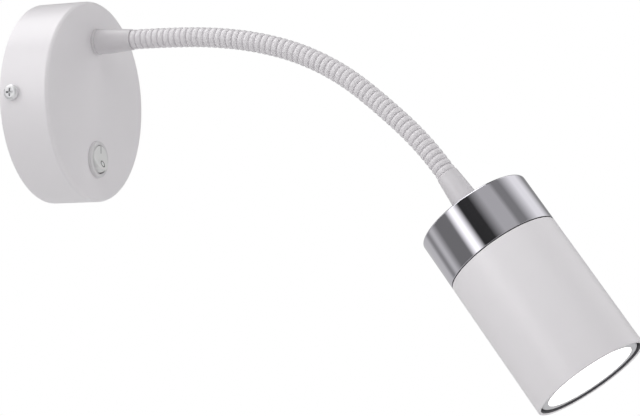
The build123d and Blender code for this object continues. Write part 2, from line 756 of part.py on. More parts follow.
def make_neck_section(i):
    """Section i runs from joint i - 1 to joint i; the first and the last end in a ferrule."""
    first = i == 0
    last = i == len(joint_s)
    first_rib = 0 if first else joint_ribs[i - 1]
    last_rib = rib_count if last else joint_ribs[i]
    s0 = 0.0 if first else joint_s[i - 1] + rim_back
    s1 = hose_length if last else joint_s[i] - rim_back
    body = neck_lofts(s0, s1, first_rib, last_rib)
    tail = hose_socket_depth
    bore_from = s0 - 1
    bore_to = s1 + 1
    if first:
        body += neck_plane(-tail) * rod(hose_tail_d, 0, tail + 0.1)
        bore_from = -tail - 1
    else:
        body -= neck_plane(joint_s[i - 1]) * Sphere(socket_d / 2)
    if last:
        body += neck_plane(hose_length) * rod(hose_tail_d, -0.1, tail)
        bore_to = hose_length + tail + 1
    else:
        cut = neck_plane(joint_s[i]) * rod(rib_d + 2, -rim_back - rib_pitch, ball_d)
        body += (neck_plane(joint_s[i]) * Sphere(ball_d / 2)) & cut
        bore_to = joint_s[i] + ball_d / 2 + 1
    path = neck_path(bore_from, bore_to)
    body -= sweep(neck_plane(bore_from) * Circle(hose_bore_d / 2), path=path)
    return body


def make_neck_cable(i):
    """The sheathed cable in section i, stopped short inside each ball so that it never meets the next."""
    s0 = joint_s[i - 1] + cable_start if i else -base_ferrule_length - base_stub_length - cable_out_of_stub
    if i < len(joint_s):
        s1 = joint_s[i] + cable_end
    else:
        s1 = hose_length + head_ferrule_length + head_stub_length + cable_out_of_stub
    path = neck_path(s0, s1)
    cable = sweep(neck_plane(s0) * Circle(cable_d / 2), path=path)
    print("cable", i + 1, "volume over section times length",
          round(cable.volume / (pi * cable_d ** 2 / 4 * path.length), 4))
    return cable


for i in range(len(joint_s) + 1):
    save("neck_section_%d" % (i + 1), make_neck_section(i), neck_frame)
    save("neck_cable_%d" % (i + 1), make_neck_cable(i), neck_frame)

# ---- Leads: three cores leave the cable's sheath at each end ----
def core_at(angle, middle, z):
    """Centre of one core where the sheath ends, at an angle round the cable's middle."""
    x, y = middle
    return (x + core_ring_r * cos(radians(angle)), y + core_ring_r * sin(radians(angle)), z)


side_by_side = core_d / 2 + 0.1        # two earth cores share the middle pole
bare_in_pole = 8.0
beside_tab = tab_t / 2 + conductor_d / 2 + 0.02
tag_reach = earth_tag_d / 2 + earth_tag_tail[1] + 0.3
on_tag = conductor_d / 2 + 0.02

# In the canopy
core_z = canopy_depth - base_stub_length - cable_out_of_stub
barrel_z = plate_top + barrel_height
pole_y = block_rise + block_size[1] / 2
pole_n, pole_e, pole_l = pole_positions()
neck_n = core_at(150, (0, arm_height), core_z)
neck_l = core_at(30, (0, arm_height), core_z)
neck_e = core_at(270, (0, arm_height), core_z)
tab_z = body_bottom - tab_length / 2
tab_end_x = tab_w / 2 + 0.6
upper_tab_y = -switch_drop + tab_offset + beside_tab
lower_tab_y = -switch_drop - tab_offset - beside_tab
tag_z = front_back - star_washer_t - earth_tag_t - on_tag

save("lead_neutral", lead(
    [neck_n, (*neck_n[:2], core_z - 5.0), (pole_n, 23.0, barrel_z), (pole_n, pole_y, barrel_z)],
    [3.0, 5.0], end_bare=bare_in_pole), wall)
save("lead_earth_neck", lead(
    [neck_e, (*neck_e[:2], core_z - 4.5), (pole_e + side_by_side, 22.0, barrel_z),
     (pole_e + side_by_side, pole_y, barrel_z)],
    [3.0, 5.0]), wall)
save("lead_earth_canopy", lead(
    [(-tag_reach, arm_height, tag_z), (-19.0, arm_height, tag_z), (-21.0, 25.0, 15.0), (-12.0, 19.5, 11.0),
     (pole_e - side_by_side, 21.0, barrel_z), (pole_e - side_by_side, pole_y, barrel_z)],
    [3.0, 4.5, 5.0, 3.0], start_bare=earth_tag_tail[1] - 1.0), wall)
save("lead_live_switched", lead(
    [neck_l, (*neck_l[:2], core_z - 5.5), (14.0, 28.0, 6.0), (22.0, 12.0, 6.5), (21.5, -15.0, 7.5),
     (12.5, lower_tab_y, tab_z), (tab_end_x, lower_tab_y, tab_z)],
    [3.0, 7.0, 14.0, 10.0, 5.0], end_bare=tab_w), wall)
save("lead_live_feed", lead(
    [(pole_l, pole_y, barrel_z), (pole_l, 20.0, barrel_z), (15.5, 20.5, barrel_z + 1.0),
     (18.5, 8.0, barrel_z), (17.5, -14.0, barrel_z + 2.0), (11.5, upper_tab_y, tab_z),
     (tab_end_x, upper_tab_y, tab_z)],
    [2.8, 3.2, 12.0, 8.0, 4.0], start_bare=bare_in_pole, end_bare=tab_w), wall)

# In the head
head_core_z = head_stub_length + cable_out_of_stub
head_l = core_at(30, (0, 0), head_core_z)
head_n = core_at(150, (0, 0), head_core_z)
head_e = core_at(270, (0, 0), head_core_z)
contact_y = pin_circle_d / 2 + contact_leg[1] / 2 + conductor_d / 2 + 0.02
holder_back = flange_back - holder_block[2]
lead_end_z = holder_back - contact_out
head_tag_z = cap_back_t + star_washer_t + earth_tag_t + on_tag

save("head_lead_live", lead(
    [head_l, (*head_l[:2], head_core_z + 2.5), (0, contact_y, lead_end_z - 3.2),
     (0, contact_y, lead_end_z)],
    [3.0, 3.0], end_bare=contact_out - 0.5), head)
save("head_lead_neutral", lead(
    [head_n, (*head_n[:2], head_core_z + 4.0), (0, -contact_y, lead_end_z - 2.2),
     (0, -contact_y, lead_end_z)],
    [3.0, 2.5], end_bare=contact_out - 0.5), head)
save("head_lead_earth", lead(
    [head_e, (*head_e[:2], head_core_z + 2.5), (0, -10.0, head_core_z + 4.0), (0, -18.0, 12.0),
     (0, -20.0, head_tag_z), (0, -tag_reach, head_tag_z)],
    [2.5, 5.0, 5.0, 2.5], end_bare=earth_tag_tail[1] - 1.0), head)
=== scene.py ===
"""Looks of a bedside wall reading lamp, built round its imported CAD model.

Metres. +Z is up, the wall is the plane Y = 0 and the room is on the -Y side. The gooseneck bends
in a plane that leans a little about the arm hole, so the head hangs towards -X.
"""

import logging
import math
from dataclasses import dataclass
from enum import Enum
from typing import Any, Sequence

import bmesh
import bpy
from mathutils import Matrix, Vector


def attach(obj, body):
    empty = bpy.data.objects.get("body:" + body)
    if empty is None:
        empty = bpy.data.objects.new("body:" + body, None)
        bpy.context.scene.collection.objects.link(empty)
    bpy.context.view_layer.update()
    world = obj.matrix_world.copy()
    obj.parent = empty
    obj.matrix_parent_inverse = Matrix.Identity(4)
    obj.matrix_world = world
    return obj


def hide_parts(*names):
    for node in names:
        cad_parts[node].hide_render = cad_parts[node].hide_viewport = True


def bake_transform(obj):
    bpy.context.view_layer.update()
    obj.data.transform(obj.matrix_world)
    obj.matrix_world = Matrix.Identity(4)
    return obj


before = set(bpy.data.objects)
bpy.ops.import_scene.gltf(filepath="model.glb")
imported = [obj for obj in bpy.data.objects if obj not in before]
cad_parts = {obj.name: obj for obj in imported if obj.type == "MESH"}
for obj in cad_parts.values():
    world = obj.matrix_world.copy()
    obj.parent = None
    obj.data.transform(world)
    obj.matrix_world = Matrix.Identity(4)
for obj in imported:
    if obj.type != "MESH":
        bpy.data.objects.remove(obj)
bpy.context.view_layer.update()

log = logging.getLogger("reading_lamp")
MM = 0.001
Outline = Sequence[tuple[float, float]]


# ---------------------------------------------------------------- small tools
def linear(colour: str) -> tuple[float, float, float, float]:
    """Turn an sRGB hex colour into linear values.

    Args:
        colour: six hex digits, with or without a leading #.

    Returns:
        Linear red, green and blue, and an alpha of 1.
    """
    digits = colour.lstrip("#")
    values = [int(digits[i:i + 2], 16) / 255 for i in (0, 2, 4)]
    r, g, b = [v / 12.92 if v <= 0.04045 else ((v + 0.055) / 1.055) ** 2.4 for v in values]
    return (r, g, b, 1.0)


def add(tree: bpy.types.NodeTree, kind: str, inputs: dict[Any, Any] | None = None,
        **settings: Any) -> bpy.types.Node:
    """Add one node with its settings, values and links.

    Args:
        tree: the tree that takes the node.
        kind: the node's type name.
        inputs: by input name or number, a value or the output socket to link from.
        **settings: the node's own properties.

    Returns:
        The new node.
    """
    node = tree.nodes.new(kind)
    for key, value in settings.items():
        setattr(node, key, value)
    for key, value in (inputs or {}).items():
        if isinstance(value, bpy.types.NodeSocket):
            tree.links.new(value, node.inputs[key])
        else:
            node.inputs[key].default_value = value
    return node


def wall_place(x: float, y: float, z: float) -> Matrix:
    """Matrix of the wall's frame moved by x, y, z metres: y is up and z leaves the wall."""
    turn = Matrix(((1, 0, 0, 0), (0, 0, -1, 0), (0, 1, 0, 0), (0, 0, 0, 1)))
    return turn @ Matrix.Translation((x, y, z))


def square_to(origin: Sequence[float], heading: float) -> Matrix:
    """Make the matrix of a plane square to a line in X = 0 that runs away from the wall.

    Args:
        origin: a point of the line, in metres.
        heading: the line's angle below level, in radians.

    Returns:
        The matrix, with local x along X and local z along the line.
    """
    c, s = math.cos(heading), math.sin(heading)
    x, y, z = origin
    return Matrix(((1, 0, 0, x), (0, -s, -c, y), (0, c, -s, z), (0, 0, 0, 1)))


@dataclass(frozen=True)
class Layout:
    """Where the lamp's sub-assemblies meet, in millimetres and degrees, as in the CAD model."""

    canopy_depth: float = 25.5
    arm_height: float = 30.0
    switch_drop: float = 29.0
    base_ferrule: float = 20.2
    head_ferrule: float = 22.0
    rib_pitch: float = 3.1
    border_ribs: tuple[int, ...] = (0, 10, 18, 26, 34, 42, 50, 61)
    border_drop_deg: tuple[float, ...] = (0.0, 3.0, 9.5, 17.5, 28.5, 39.0, 42.5, 54.0)
    lean_deg: float = 6.1

    def border(self, i: int) -> tuple[float, float, float]:
        """Follow the gooseneck's middle line, arc after arc, to one border.

        Args:
            i: the border's number.

        Returns:
            Its Y and Z in the neck's frame, in millimetres, and the heading there, in radians.
        """
        y, z = -(self.canopy_depth + self.base_ferrule), 0.0
        for k in range(i):
            run = (self.border_ribs[k + 1] - self.border_ribs[k]) * self.rib_pitch
            h0, h1 = (math.radians(d) for d in self.border_drop_deg[k:k + 2])
            bend = (h1 - h0) / run
            y -= (math.sin(h1) - math.sin(h0)) / bend
            z += (math.cos(h1) - math.cos(h0)) / bend
        return y, z, math.radians(self.border_drop_deg[i])

    def neck(self) -> Matrix:
        """Matrix of the neck's frame: upright turned by the lean, about the arm hole's axis."""
        turn = Matrix.Rotation(math.radians(self.lean_deg), 4, "Y")
        return Matrix.Translation((0.0, 0.0, self.arm_height * MM)) @ turn

    def head(self) -> Matrix:
        """Find the head's frame.

        Returns:
            Its matrix: local z = 0 is the cap's back and +z runs to the mouth.
        """
        y, z, h = self.border(len(self.border_ribs) - 1)
        y -= self.head_ferrule * math.cos(h)
        z -= self.head_ferrule * math.sin(h)
        return self.neck() @ square_to((0.0, y * MM, z * MM), h)


LAYOUT = Layout()


def rounded(points: Outline, radii: Sequence[float], steps: int = 5) -> list[tuple[float, float]]:
    """Round the corners of a closed outline.

    Args:
        points: the corners, as radius and height.
        radii: one radius for each corner, 0 for a sharp one.
        steps: how many runs make one rounded corner.

    Returns:
        The outline with its corners replaced by arcs.
    """
    result: list[tuple[float, float]] = []
    for i, (point, radius) in enumerate(zip(points, radii)):
        here, before = Vector(point), Vector(points[i - 1])
        after = Vector(points[(i + 1) % len(points)])
        if radius <= 0:
            result.append(tuple(here))
            continue
        into, out = (before - here).normalized(), (after - here).normalized()
        half = into.angle(out) / 2
        room = 0.49 * min((before - here).length, (after - here).length)
        back = min(radius / math.tan(half), room)
        a, b = here + into * back, here + out * back
        centre = here + (into + out).normalized() * (back / math.cos(half))
        ra, rb = a - centre, b - centre
        whole = ra.angle_signed(rb)
        for k in range(steps + 1):
            turn = -whole * k / steps
            spin = Matrix.Rotation(turn, 2)
            result.append(tuple(centre + spin @ ra))
    return result


def revolve(shape: bmesh.types.BMesh, outline: Outline, segments: int = 128,
            finish: int = 0) -> None:
    """Turn a closed outline about local Z into a closed shell and add it to a shape.

    Args:
        shape: the mesh that takes the shell.
        outline: corners as radius and height, in millimetres.
        segments: faces round the axis.
        finish: the material slot of its faces.
    """
    rows = []
    for r, z in outline:
        count = segments if r > 1e-6 else 1
        rows.append([shape.verts.new((r * MM * math.cos(math.tau * k / segments),
                                      r * MM * math.sin(math.tau * k / segments), z * MM))
                     for k in range(count)])
    for a, b in zip(rows, rows[1:] + rows[:1]):
        for k in range(segments):
            corners = [a[k % len(a)], a[(k + 1) % len(a)], b[(k + 1) % len(b)], b[k % len(b)]]
            corners = list(dict.fromkeys(corners))
            if len(corners) > 2:
                shape.faces.new(corners).material_index = finish


def settle(name: str, shape: bmesh.types.BMesh, place: Matrix, *finishes: "Finish",
           sharp: float = 32.0) -> bpy.types.Object:
    """Make a piece of a finished shape, in place and smooth shaded between its sharp edges.

    Args:
        name: the piece's name.
        shape: its closed shells, in the local frame.
        place: where the local frame is.
        *finishes: what its material slots wear.
        sharp: edges that bend more than this many degrees stay sharp.

    Returns:
        The new object, at the origin, with its place in its mesh.
    """
    bmesh.ops.recalc_face_normals(shape, faces=shape.faces)
    shape.transform(place)
    mesh = bpy.data.meshes.new(name)
    for finish in finishes:
        mesh.materials.append(finish.material())
    shape.to_mesh(mesh)
    shape.free()
    piece = bpy.data.objects.new(name, mesh)
    bpy.context.scene.collection.objects.link(piece)
    smooth(mesh, sharp)
    return piece


def smooth(mesh: bpy.types.Mesh, sharp: float) -> None:
    """Shade a mesh smooth between its sharp edges.

    Args:
        mesh: the mesh.
        sharp: edges that bend more than this many degrees stay sharp.
    """
    mesh.polygons.foreach_set("use_smooth", [True] * len(mesh.polygons))
    mesh.set_sharp_from_angle(angle=math.radians(sharp))
    mesh.update()


def bake_nodes(piece: bpy.types.Object, tree: bpy.types.NodeTree, values: dict[str, Any],
               place: Matrix, sharp: float) -> None:
    """Run a geometry tree on a piece once and keep its result as a plain mesh.

    Args:
        piece: the object whose mesh is the tree's input.
        tree: the geometry tree.
        values: the tree's inputs by name.
        place: where the tree's frame is.
        sharp: edges that bend more than this many degrees stay sharp.
    """
    modifier = piece.modifiers.new(tree.name, "NODES")
    modifier.node_group = tree
    for item in tree.interface.items_tree:
        if item.item_type == "SOCKET" and item.in_out == "INPUT" and item.name in values:
            modifier[item.identifier] = values[item.name]
    bpy.context.view_layer.update()
    evaluated = piece.evaluated_get(bpy.context.evaluated_depsgraph_get())
    made = bpy.data.meshes.new_from_object(evaluated)
    piece.modifiers.clear()
    made.name = piece.name
    made.transform(place)
    piece.data = made
    smooth(made, sharp)


def hand_over(piece: bpy.types.Object, body: str, slot: str, *nodes: str) -> None:
    """Let a piece ride on a body and let it stand for CAD nodes.

    Args:
        piece: the finished piece.
        body: the body that it rides on.
        slot: the record's material slot; not used.
        *nodes: the CAD nodes that it replaces.
    """
    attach(piece, body)
    if nodes:
        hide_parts(*nodes)
    log.info("%s: %d faces, rides on %s", piece.name, len(piece.data.polygons), body)


def dress(finish: "Finish", *nodes: str) -> None:
    """Give CAD nodes a finish.

    Args:
        finish: what they wear.
        *nodes: their names.
    """
    material = finish.material()
    for name in nodes:
        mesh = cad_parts[name].data
        if mesh.materials:
            mesh.materials[0] = material
        else:
            mesh.materials.append(material)
        log.info("%s: %s", name, finish.name)


# ---------------------------------------------------------------- finishes
class Texture(Enum):
    """How a surface was made, which decides its small relief."""

    PEEL = "sprayed or powder coat, slightly orange-peeled"
    PLATED = "bright plate over a drawn or polished base"
    MOULDED = "moulded with a fine spark-eroded grain"
    FIRED = "pressed and fired ceramic"
    TURNED = "machined, with fine tool marks"


@dataclass(frozen=True)
class Finish:
    """One real finish, with what it is made of and how its surface was made."""

    name: str
    colour: str
    shade: str
    roughness: float
    texture: Texture
    grain_mm: float
    relief_mm: float
    metallic: float = 0.0
    ior: float = 1.5
    roughness_spread: float = 0.06
    blotch_mm: float = 18.0

    def material(self) -> bpy.types.Material:
        """Build the material, unless it is built already.

        Returns:
            The material.
        """
        known = bpy.data.materials.get(self.name)
        if known:
            return known
        material = bpy.data.materials.new(self.name)
        material.use_nodes = True
        tree = material.node_tree
        tree.nodes.clear()
        place = add(tree, "ShaderNodeTexCoord").outputs["Object"]
        shader = add(tree, "ShaderNodeBsdfPrincipled", {"Metallic": self.metallic})
        if not self.metallic:
            shader.inputs["IOR"].default_value = self.ior
        self.connect(tree, place, shader)
        add(tree, "ShaderNodeOutputMaterial", {"Surface": shader.outputs["BSDF"]})
        return material

    def connect(self, tree: bpy.types.NodeTree, place: bpy.types.NodeSocket,
                shader: bpy.types.Node) -> None:
        """Link colour, roughness and relief to the shader.

        Args:
            tree: the material's tree.
            place: object coordinates, in metres.
            shader: the Principled shader.
        """
        blotch = add(tree, "ShaderNodeTexNoise", {
            "Vector": place, "Scale": 1 / (self.blotch_mm * MM), "Detail": 3.0})
        grain = self.grain(tree, place)
        tint = add(tree, "ShaderNodeMix", {
            0: blotch.outputs["Fac"], 6: linear(self.colour), 7: linear(self.shade)},
            data_type="RGBA")
        tree.links.new(tint.outputs[2], shader.inputs["Base Color"])
        low = self.roughness - self.roughness_spread / 2
        high = self.roughness + self.roughness_spread / 2
        rough = add(tree, "ShaderNodeMapRange", {
            "Value": blotch.outputs["Fac"], "From Min": 0.3, "From Max": 0.7,
            "To Min": low, "To Max": high})
        tree.links.new(rough.outputs["Result"], shader.inputs["Roughness"])
        bump = add(tree, "ShaderNodeBump", {
            "Height": grain, "Strength": 1.0, "Distance": self.relief_mm * MM})
        tree.links.new(bump.outputs["Normal"], shader.inputs["Normal"])

    def grain(self, tree: bpy.types.NodeTree, place: bpy.types.NodeSocket) -> bpy.types.NodeSocket:
        """Make the height pattern of the surface, at its real scale.

        Args:
            tree: the material's tree.
            place: object coordinates, in metres.

        Returns:
            The height's socket.
        """
        scale = 1 / (self.grain_mm * MM)
        if self.texture in (Texture.MOULDED, Texture.FIRED):
            cells = add(tree, "ShaderNodeTexVoronoi", {
                "Vector": place, "Scale": scale, "Randomness": 1.0}, feature="SMOOTH_F1")
            return cells.outputs["Distance"]
        if self.texture is Texture.TURNED:
            rings = add(tree, "ShaderNodeTexWave", {
                "Vector": place, "Scale": scale / 3, "Distortion": 1.5, "Detail": 2.0},
                wave_type="BANDS", bands_direction="Y")
            return rings.outputs["Fac"]
        noise = add(tree, "ShaderNodeTexNoise", {
            "Vector": place, "Scale": scale, "Detail": 2.0, "Roughness": 0.45})
        return noise.outputs["Fac"]


@dataclass(frozen=True)
class LitLens(Finish):
    """Opal cover of a lit lamp: it glows evenly, with a faint grain."""

    glow: str = "#FFFDF8"
    strength: float = 2.2

    def connect(self, tree: bpy.types.NodeTree, place: bpy.types.NodeSocket,
                shader: bpy.types.Node) -> None:
        """Link the finish and add the glow.

        Args:
            tree: the material's tree.
            place: object coordinates, in metres.
            shader: the Principled shader.
        """
        super().connect(tree, place, shader)
        shader.inputs["Emission Color"].default_value = linear(self.glow)
        shader.inputs["Emission Strength"].default_value = self.strength


@dataclass(frozen=True)
class StripedCore(Finish):
    """Insulation in two colours that run side by side along the core."""

    second: str = "#D8C21C"
    stripe_mm: float = 3.2

    def connect(self, tree: bpy.types.NodeTree, place: bpy.types.NodeSocket,
                shader: bpy.types.Node) -> None:
        """Link the finish, then lay the second colour over it in bands.

        Args:
            tree: the material's tree.
            place: object coordinates, in metres.
            shader: the Principled shader.
        """
        super().connect(tree, place, shader)
        bands = add(tree, "ShaderNodeTexWave", {
            "Vector": place, "Scale": 1 / (3 * self.stripe_mm * MM)},
            wave_type="BANDS", bands_direction="DIAGONAL")
        step = add(tree, "ShaderNodeMath", {0: bands.outputs["Fac"], 1: 0.6},
                   operation="GREATER_THAN")
        both = add(tree, "ShaderNodeMix", {
            0: step.outputs[0], 6: linear(self.colour), 7: linear(self.second)}, data_type="RGBA")
        tree.links.new(both.outputs[2], shader.inputs["Base Color"])


# Polyester powder coat on steel: even white, satin, with a peel that only breaks the highlights.
WHITE_COAT = Finish("white_powder_coat", "#F2EFF2", "#EFECEF", 0.34, Texture.PEEL, 0.9, 0.006)
# The same white coat on the gooseneck's steel coil, its colour darkened a little all over: painted
# shade for the hose's shaded underside.
HOSE_COAT_WITH_PAINTED_SHADE = Finish("white_coat_on_gooseneck_painted_shade", "#E9E6E9", "#E5E2E5", 0.3, Texture.PEEL, 0.7, 0.004)
# The same white coat on the turned ferrules, semi-gloss, its colour greyed all over: painted shade
# for their shaded undersides.
FERRULE_COAT_WITH_PAINTED_SHADE = Finish("white_coat_on_ferrule_painted_shade", "#DEDBDE", "#DAD7DA", 0.36, Texture.PEEL,
                      0.8, 0.004)
# Nickel-chrome plate on a polished pressing: a mirror, cool grey, with almost no relief.
CHROME = Finish("chrome_plate", "#DDDBE2", "#D8D6DD", 0.045, Texture.PLATED, 6.0, 0.0008,
                metallic=1.0, roughness_spread=0.02)
# Zinc plate on pressed steel: bright blue-grey, cloudy.
ZINC = Finish("zinc_plated_steel", "#B9BCC0", "#A6A9AD", 0.32, Texture.PLATED, 1.6, 0.004,
              metallic=1.0, roughness_spread=0.16, blotch_mm=7.0)
# Nickel plate on the turned bulb pins: bright and warm grey.
NICKEL = Finish("nickel_plated_brass", "#CFCFD0", "#BDBDBE", 0.2, Texture.PLATED, 0.8, 0.003,
                metallic=1.0, roughness_spread=0.08, blotch_mm=3.0)
# Satin nickel plate on the tumbled, cold-headed side screws: light and soft.
SCREW = Finish("satin_nickel_plated_steel", "#F4F4F5", "#E9E9EB", 0.5, Texture.PLATED, 0.8, 0.003,
               metallic=1.0, roughness_spread=0.08, blotch_mm=3.0)
# Moulded nylon of the switch: white, semi-gloss, with a fine eroded grain. The housing's copy is
# greyer: painted shade, though both are the same nylon.
NYLON = Finish("moulded_white_nylon", "#ECECEB", "#E8E8E8", 0.3, Texture.MOULDED, 0.35, 0.004)
HOUSING_NYLON_WITH_PAINTED_SHADE = Finish("moulded_white_nylon_painted_shade", "#DEDCDE", "#D9D7D9", 0.38, Texture.MOULDED,
                       0.35, 0.004)
# Natural polyamide of the terminal block: milky, dull.
POLYAMIDE = Finish("natural_polyamide", "#DAD8CF", "#D0CEC4", 0.48, Texture.MOULDED, 0.5, 0.008)
# Machined brass: warm, with tool marks.
BRASS = Finish("machined_brass", "#D9B25C", "#C79E48", 0.24, Texture.TURNED, 0.3, 0.003,
               metallic=1.0)
# Steatite: dry-pressed and fired, off-white, slightly porous.
STEATITE = Finish("steatite_ceramic", "#E7E2D6", "#DCD6C8", 0.55, Texture.FIRED, 0.45, 0.012)
# Dark grey, dull: painted shade inside the head tube and on the cap's spigot in the seam, where
# little light gets in.
RECESS_PAINTED_SHADE = Finish("dark_grey_painted_shade_in_recesses", "#656468", "#5B5A5E", 0.6, Texture.MOULDED, 0.5, 0.006)
# Moulded rubber: near black, dull.
RUBBER = Finish("moulded_black_rubber", "#1E1E1F", "#27272A", 0.6, Texture.MOULDED, 0.4, 0.008)
# PVC insulation, drawn: smooth with a soft shine.
SHEATH = Finish("white_pvc_sheath", "#DEDEDC", "#D4D4D2", 0.42, Texture.PEEL, 0.7, 0.006)
CORE_BROWN = Finish("brown_pvc_core", "#5A3320", "#4C2A1A", 0.38, Texture.PEEL, 0.6, 0.005)
CORE_BLUE = Finish("blue_pvc_core", "#2459A6", "#1E4E96", 0.38, Texture.PEEL, 0.6, 0.005)
CORE_EARTH = StripedCore("green_yellow_pvc_core", "#2F7A33", "#2A6E2E", 0.38, Texture.PEEL,
                         0.6, 0.005)
# Thermoplastic lamp body over aluminium: light grey, fine grain.
BULB_BODY = Finish("moulded_grey_polycarbonate", "#D8D8DB", "#D2D2D5", 0.36, Texture.MOULDED,
                   0.4, 0.004)
# Opal polycarbonate, lit from behind.
LENS = LitLens("opal_polycarbonate_lit", "#FBFAF6", "#F6F5F1", 0.42, Texture.MOULDED, 0.8, 0.01)
# Glass-epoxy board under white solder resist.
BOARD = Finish("white_solder_resist", "#E6E7E2", "#DEDFDA", 0.28, Texture.PEEL, 0.5, 0.004)
# Matt painted studio floor: pale, even.
FLOOR = Finish("matt_floor_paint", "#EDEDED", "#E8E8E8", 0.7, Texture.PEEL, 3.0, 0.02,
               blotch_mm=400.0)
# Pad-printed marks: grey ink, thinner on the bar.
INK = Finish("dark_grey_pad_print", "#4A4A4D", "#424245", 0.5, Texture.MOULDED, 0.2, 0.002)
THIN_INK = Finish("thin_grey_pad_print", "#77777B", "#6E6E72", 0.5, Texture.MOULDED, 0.2, 0.002)


